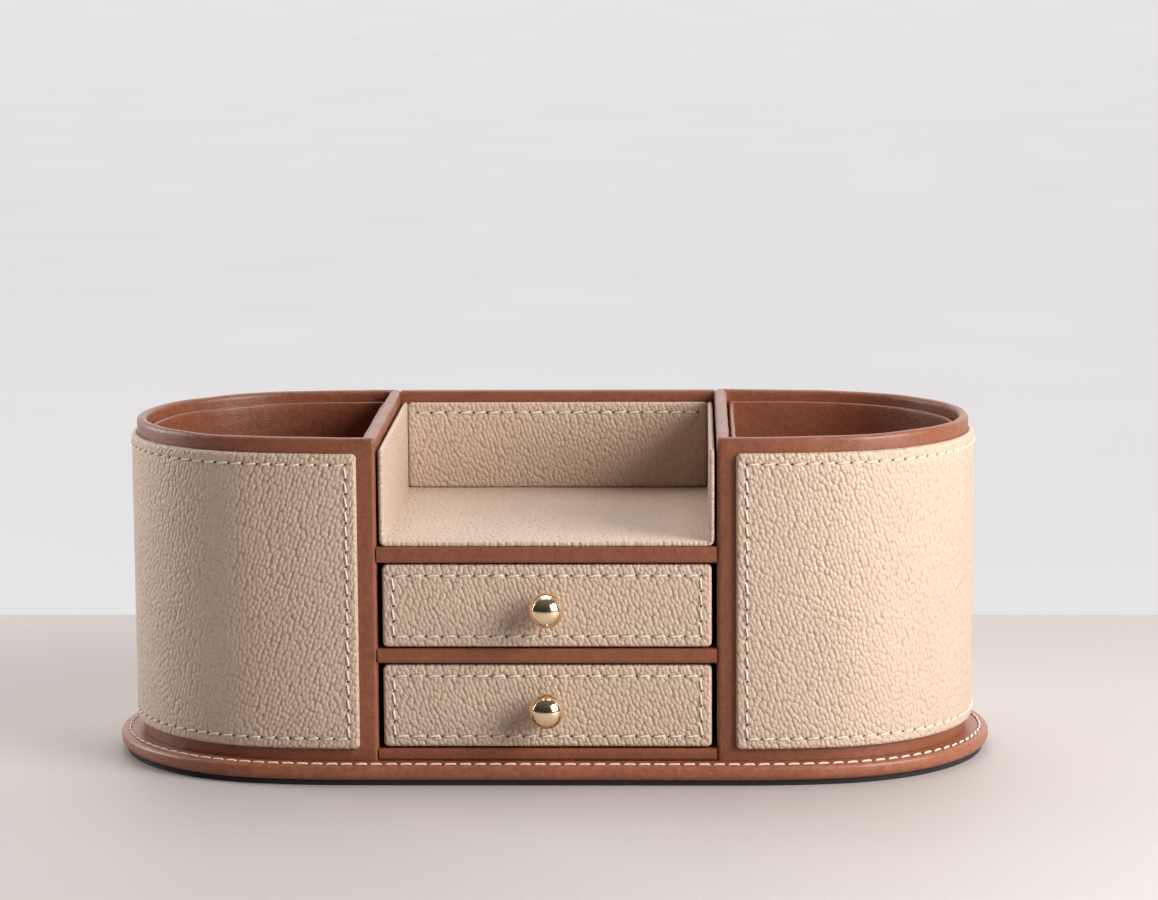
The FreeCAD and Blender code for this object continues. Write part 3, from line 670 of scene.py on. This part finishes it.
class Recipe:
    """The nodes of a procedural material or world in the making, over its one shader."""

    def __init__(self, owner, shader="Principled BSDF"):
        owner.use_nodes = True
        self.owner = owner
        self.tree = owner.node_tree
        self.shader = self.tree.nodes[shader]

    def add(self, kind, inputs=(), **settings):
        """A node of a kind, with its settings and its inputs: plain values or other nodes' outputs."""
        node = self.tree.nodes.new(f"ShaderNode{kind}")
        for key, value in settings.items():
            setattr(node, key, value)
        for key, value in dict(inputs).items():
            self.feed(node.inputs[key], value)
        return node

    def feed(self, socket, value):
        if isinstance(value, bpy.types.NodeSocket):
            self.tree.links.new(value, socket)
        else:
            socket.default_value = value

    def finish(self, **inputs):
        """Feed the shader. Underscores stand for spaces in its inputs' names."""
        for key, value in inputs.items():
            self.feed(self.shader.inputs[key.replace("_", " ")], value)
        return self.owner

    def in_object(self, size, stretch=(1, 1, 1)):
        """Places in the object's own space, one unit for each size of length."""
        source = self.add("TexCoord").outputs["Object"]
        scale = [part / size for part in stretch]
        return self.add("Mapping", {"Vector": source, "Scale": scale}).outputs["Vector"]

    def on_leather(self, size, turn=0.0, stretch=1.0):
        """Places on the sheet as it was cut, one unit for each size of length, stretched one way."""
        source = self.add("UVMap", uv_map=GRAIN_UV).outputs["UV"]
        turned = self.add("Mapping", {"Vector": source, "Rotation": (0, 0, turn)}).outputs["Vector"]
        scale = (1 / size, 1 / (size * stretch), 1 / size)
        return self.add("Mapping", {"Vector": turned, "Scale": scale}).outputs["Vector"]

    def shifted(self, places, amount):
        """Places pushed about by noise, so that a pattern on them is uneven."""
        push = self.add("TexNoise", {"Vector": places, "Scale": 0.9, "Detail": 2.0}).outputs["Color"]
        centred = self.add("VectorMath", {0: push, 1: (0.5, 0.5, 0.5)}, operation="SUBTRACT").outputs[0]
        scaled = self.add("VectorMath", {0: centred, "Scale": amount}, operation="SCALE").outputs[0]
        return self.add("VectorMath", {0: places, 1: scaled}, operation="ADD").outputs[0]

    def noise(self, places, detail=2.0, roughness=0.5):
        """Soft cloudy values round one half."""
        inputs = {"Vector": places, "Scale": 1.0, "Detail": detail, "Roughness": roughness}
        return self.add("TexNoise", inputs).outputs["Fac"]

    def pebbles(self, places):
        """Rounded cells: 0 in the creases between them, 1 on their tops."""
        inputs = {"Vector": places, "Scale": 1.0, "Randomness": 0.7}
        cells = self.add("TexVoronoi", inputs, voronoi_dimensions="2D")
        distance = cells.outputs["Distance"]
        return self.sum((self.product(distance, distance), -1.6), (1.0, 1.0))

    def span(self, value, from_low, from_high, to_low, to_high, smooth=False):
        """The value moved from one span of numbers to another."""
        inputs = {"Value": value, "From Min": from_low, "From Max": from_high}
        inputs.update({"To Min": to_low, "To Max": to_high})
        kind = "SMOOTHSTEP" if smooth else "LINEAR"
        return self.add("MapRange", inputs, interpolation_type=kind).outputs["Result"]

    def sum(self, *parts):
        """Values added up, each with its weight."""
        total = 0.0
        for value, weight in parts:
            total = self.add("Math", {0: value, 1: weight, 2: total}, operation="MULTIPLY_ADD").outputs[0]
        return total

    def product(self, first, second):
        """Two values multiplied."""
        return self.add("Math", {0: first, 1: second}, operation="MULTIPLY").outputs[0]

    def mix(self, factor, low, high):
        """A colour between two others."""
        return self.add("Mix", {0: factor, 6: low, 7: high}, data_type="RGBA").outputs[2]

    def painted_hole_shade(self, tone, dark):
        """The colour, with painted shade in the needle holes."""
        hole = self.add("Attribute", attribute_name=HOLE_LAYER).outputs["Fac"]
        return self.mix(self.span(hole, 0.12, 0.5, 0.0, 1.0), tone, dark)

    def bump(self, height, depth, strength=1.0):
        """A surface raised by height times depth."""
        inputs = {"Height": height, "Distance": depth, "Strength": strength}
        return self.add("Bump", inputs).outputs["Normal"]


def material_recipe(name):
    """The recipe of a new material."""
    return Recipe(bpy.data.materials.new(name))


def beige_leather():
    """Pebbled leather: soft upright cells that lean one way, a mild sheen, painted shade in its creases and
    needle holes.
    """
    recipe = material_recipe("beige pebbled leather")
    lean = -0.33
    pebble = recipe.pebbles(recipe.shifted(recipe.on_leather(1.5 * MM, lean, 1.35), 0.25))
    ridges = recipe.noise(recipe.shifted(recipe.on_leather(0.8 * MM, lean, 1.6), 0.3))
    patches = recipe.noise(recipe.on_leather(26 * MM), detail=3.0)
    relief = recipe.span(recipe.noise(recipe.on_leather(9 * MM)), 0.35, 0.65, 0.8, 1.0)
    height = recipe.product(recipe.sum((pebble, 1.0), (ridges, 0.25)), relief)
    tone = recipe.mix(patches, shade(197, 170, 147), shade(208, 183, 160))
    # Painted shade: darker in the creases between the pebbles.
    tone = recipe.mix(recipe.span(pebble, 0.0, 0.7, 0.25, 0.0), tone, shade(150, 118, 92))
    # Painted shade in the needle holes.
    tone = recipe.painted_hole_shade(tone, shade(34, 22, 16))
    gloss = recipe.sum((pebble, -0.10), (patches, 0.10), (0.50, 1.0))
    return recipe.finish(Base_Color=tone, Roughness=gloss, Normal=recipe.bump(height, 0.48 * MM, 0.9),
                         Specular_IOR_Level=0.5, Sheen_Weight=0.16, Sheen_Roughness=0.45)


def leatherette(name, dark, light):
    """Leatherette with a fine grain and soft creases, semi-gloss, uneven in tone, with painted shade in its
    creases, grain hollows and needle holes.
    """
    recipe = material_recipe(name)
    places = recipe.shifted(recipe.in_object(0.75 * MM), 0.5)
    cells = recipe.add("TexVoronoi", {"Vector": places, "Scale": 1.0}, feature="F1").outputs["Distance"]
    grain = recipe.span(cells, 0.1, 0.75, 1.0, 0.0, smooth=True)
    creases = recipe.noise(recipe.shifted(recipe.in_object(2.4 * MM), 0.8), detail=4.0, roughness=0.6)
    folds = recipe.noise(recipe.in_object(7 * MM), detail=3.0)
    patches = recipe.noise(recipe.in_object(19 * MM), detail=3.0)
    tone = recipe.mix(patches, dark, light)
    # Painted shade: darker in the low parts of the creases and between the grain's cells.
    tone = recipe.mix(recipe.span(creases, 0.35, 0.6, 0.35, 0.0), tone, shade(98, 56, 39))
    tone = recipe.mix(recipe.span(grain, 0.0, 0.6, 0.2, 0.0), tone, shade(92, 50, 34))
    # Painted shade in the needle holes.
    tone = recipe.painted_hole_shade(tone, shade(30, 17, 12))
    gloss = recipe.sum((creases, 0.22), (grain, -0.05), (0.30, 1.0))
    height = recipe.sum((grain, 0.15), (creases, 0.6), (folds, 0.8))
    return recipe.finish(Base_Color=tone, Roughness=gloss, Normal=recipe.bump(height, 0.35 * MM, 0.7),
                         Specular_IOR_Level=0.5)


def thread():
    """Cream sewing thread with its twist, and painted shade in the twist's grooves."""
    recipe = material_recipe("cream thread")
    places = recipe.on_leather(0.55 * MM, 0.9)
    twist = recipe.add("TexWave", {"Vector": places, "Scale": 0.5, "Distortion": 0.4}).outputs["Fac"]
    patches = recipe.noise(recipe.in_object(6 * MM), detail=3.0)
    tone = recipe.mix(patches, shade(232, 218, 198), shade(245, 235, 219))
    # Painted shade: darker in the grooves of the twist.
    tone = recipe.mix(recipe.span(twist, 0.0, 0.5, 0.35, 0.0), tone, shade(190, 166, 138))
    gloss = recipe.sum((twist, -0.1), (patches, 0.1), (0.7, 1.0))
    return recipe.finish(Base_Color=tone, Roughness=gloss, Normal=recipe.bump(twist, 0.08 * MM, 0.7))


def polished_brass():
    """Pale polished metal with faint smears."""
    recipe = material_recipe("polished pale brass")
    patches = recipe.noise(recipe.in_object(3.5 * MM), detail=4.0)
    smears = recipe.noise(recipe.in_object(1.1 * MM), detail=3.0)
    tone = recipe.mix(patches, shade(246, 218, 178), shade(252, 230, 196))
    gloss = recipe.sum((patches, 0.08), (smears, 0.05), (0.08, 1.0))
    normal = recipe.bump(smears, 0.01 * MM, 0.4)
    return recipe.finish(Base_Color=tone, Roughness=gloss, Metallic=1.0, Normal=normal)


def plain_steel():
    """Screw metal with fine lines from turning."""
    recipe = material_recipe("plain steel")
    lines = recipe.noise(recipe.in_object(0.4 * MM, stretch=(1, 0.1, 1)), detail=3.0)
    tone = recipe.mix(lines, shade(150, 150, 152), shade(196, 197, 200))
    gloss = recipe.sum((lines, 0.2), (0.25, 1.0))
    normal = recipe.bump(lines, 0.02 * MM, 0.5)
    return recipe.finish(Base_Color=tone, Roughness=gloss, Metallic=1.0, Normal=normal)


def fibrous(name, dark, light, size, depth, roughness, sheen):
    """Board, felt or foam: a rough material of small fibres or cells."""
    recipe = material_recipe(name)
    fibres = recipe.noise(recipe.in_object(size), detail=6.0, roughness=0.7)
    patches = recipe.noise(recipe.in_object(14 * size))
    tone = recipe.mix(recipe.sum((fibres, 0.7), (patches, 0.3)), dark, light)
    gloss = recipe.sum((fibres, -0.15), (roughness, 1.0))
    return recipe.finish(Base_Color=tone, Roughness=gloss, Normal=recipe.bump(fibres, depth, 0.8),
                         Sheen_Weight=sheen, Sheen_Roughness=0.6)


def pale_surface(name, dark, light, glow=0.0):
    """A plain pale ground with a faint speckle. glow makes it as bright far off as it is near the lamps."""
    recipe = material_recipe(name)
    speckle = recipe.noise(recipe.in_object(3 * MM), detail=5.0, roughness=0.7)
    cloud = recipe.noise(recipe.in_object(180 * MM))
    tone = recipe.mix(recipe.sum((speckle, 0.6), (cloud, 0.4)), dark, light)
    gloss = recipe.sum((cloud, 0.1), (0.5, 1.0))
    normal = recipe.bump(speckle, 0.05 * MM, 0.3)
    return recipe.finish(Base_Color=tone, Roughness=gloss, Normal=normal, Specular_IOR_Level=0.2,
                         Emission_Color=shade(232, 229, 230), Emission_Strength=glow)


BEIGE_LEATHER = beige_leather()
LEATHERETTE = leatherette("brown leatherette", shade(133, 76, 51), shade(153, 92, 64))
# Partly painted light: the base's copy of the leatherette is lighter for the light its rounded front edge
# catches from above, and partly for the base's own more worn, more orange look.
LIT_BASE_LEATHERETTE = leatherette("lighter brown leatherette", shade(150, 87, 61), shade(172, 106, 77))
THREAD = thread()
BRASS = polished_brass()
CAD_MATERIALS = {
    "brown_leatherette": LEATHERETTE,
    "beige_leather": BEIGE_LEATHER,
    "board": fibrous("grey board", shade(124, 108, 88), shade(168, 150, 126), 0.5 * MM, 0.1 * MM, 0.9, 0.0),
    "drawer_wrap": LEATHERETTE,
    "felt": fibrous("brown felt", shade(84, 56, 42), shade(122, 88, 68), 0.5 * MM, 0.35 * MM, 1.0, 0.35),
    "brass": BRASS,
    "steel": plain_steel(),
    "pad": fibrous("black foam", shade(14, 13, 13), shade(36, 34, 33), 0.6 * MM, 0.3 * MM, 0.95, 0.05),
}


def dress_cad_nodes():
    """Every CAD node that stays gets the material of its slot."""
    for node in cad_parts.values():
        for slot in node.material_slots:
            slot.material = CAD_MATERIALS[slot.material.name.split(".")[0]]


# ---- the object


def build_cups():
    """Walls, liners and wrapped panels of both cups."""
    for side, mirrored in SIDES:
        round_wall(side, "cup_shell", mirrored, CUP_WALL, PARTITION, RIM_ROUND, 0.30 * MM)
        round_wall(side, "cup_liner", mirrored, LINER_THICKNESS, LINER_THICKNESS, LINER_ROUND, 0.20 * MM)
        proud = PANEL_HIGH.x - HALF_LENGTH
        track = RoundEnd(PANEL_LOW.x)
        panel = TurnedLeather(track, PANEL_LOW.z, PANEL_HIGH.z, proud, PANEL_PITCH, ("low", "high", "ends"))
        panel.build(f"{side}_wrap_panel", CARCASS, (f"{side}_wrap_panel_leather",), mirrored)


def build_tray():
    """The tray's liner and the sheet across its back."""
    tray_liner()
    track = Straight(BACK_LOW.x, BACK_HIGH.x, BACK_HIGH.y)
    sheet = TurnedLeather(track, BACK_LOW.z, BACK_HIGH.z, BACK_HIGH.y - BACK_LOW.y, PANEL_PITCH, ("high",))
    sheet.build("tray_back", CARCASS, ("tray_back_liner",))


def build_drawers():
    """The stitched fronts and the knobs."""
    for drawer in DRAWERS:
        node = f"{drawer}_front_leather"
        low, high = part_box(node)
        track = Straight(low.x, high.x, high.y)
        front = TurnedLeather(track, low.z, high.z, high.y - low.y, DRAWER_PITCH, ("low", "high", "ends"))
        front.build(f"{drawer}_front", drawer, (node,))
        knob(drawer)


# ---- stage


def stage_plane(name, low_y, high_y, material):
    """A flat piece of the surroundings."""
    half = STAGE_REACH
    mesh = bpy.data.meshes.new(name)
    corners = [(-half, low_y, 0), (half, low_y, 0), (half, high_y, 0), (-half, high_y, 0)]
    mesh.from_pydata(corners, [], [(0, 1, 2, 3)])
    mesh.materials.append(material)
    plane = bpy.data.objects.new(name, mesh)
    bpy.context.scene.collection.objects.link(plane)


def area_light(name, place, size, watts, colour):
    """A soft square light that looks at the organizer."""
    lamp = bpy.data.lights.new(name, "AREA")
    lamp.size = size
    lamp.energy = watts
    lamp.color = colour
    light = bpy.data.objects.new(name, lamp)
    light.location = place
    light.rotation_euler = (LAMP_AIM - Vector(place)).to_track_quat("-Z", "Y").to_euler()
    bpy.context.scene.collection.objects.link(light)


def room_light():
    """Soft light of a pale room, from behind and from above; the front is dark."""
    recipe = Recipe(bpy.data.worlds.new("pale room"), "Background")
    source = recipe.add("TexCoord").outputs["Generated"]
    lobes = []
    for way, strength in ROOM_LOBES:
        aim = Vector(way).normalized()
        facing = recipe.add("VectorMath", {0: source, 1: aim}, operation="DOT_PRODUCT").outputs["Value"]
        lit = recipe.add("Math", {0: facing, 1: 0.0}, operation="MAXIMUM").outputs[0]
        lobes.append((recipe.product(lit, lit), strength))
    return recipe.finish(Color=shade(255, 252, 252), Strength=recipe.sum(*lobes, (1.0, ROOM_REST)))


def set_stage():
    """A pale table, a glowing ground beyond it, and soft lamps.

    The key and the near key stand in front on the right, the fill on the left, the overhead lamp behind.
    """
    table = pale_surface("pale table", shade(186, 178, 174), shade(197, 190, 186))
    ground = pale_surface("pale ground", shade(78, 77, 77), shade(84, 83, 83), glow=0.73)
    stage_plane("table", -STAGE_REACH, TABLE_END, table)
    stage_plane("ground", TABLE_END, STAGE_REACH, ground)
    for lamp in LAMPS:
        area_light(*lamp)
    bpy.context.scene.world = room_light()
    bpy.context.scene.view_settings.view_transform = "Standard"


def set_camera():
    """A long lens from a little right of the middle, looking slightly down."""
    yaw, pitch, roll = (math.radians(angle) for angle in CAMERA_ANGLES)
    lens = bpy.data.cameras.new("camera")
    lens.sensor_width = SENSOR_WIDTH
    lens.lens = FOCAL_LENGTH
    lens.clip_end = FARTHEST_SEEN
    camera = bpy.data.objects.new("camera", lens)
    tilt = Matrix.Rotation(math.pi / 2 - pitch, 4, "X") @ Matrix.Rotation(roll, 4, "Z")
    camera.matrix_world = Matrix.Translation(CAMERA_PLACE) @ Matrix.Rotation(-yaw, 4, "Z") @ tilt
    bpy.context.scene.collection.objects.link(camera)
    bpy.context.scene.camera = camera


dress_cad_nodes()
base_cover()
build_cups()
build_tray()
build_drawers()
set_stage()
set_camera()
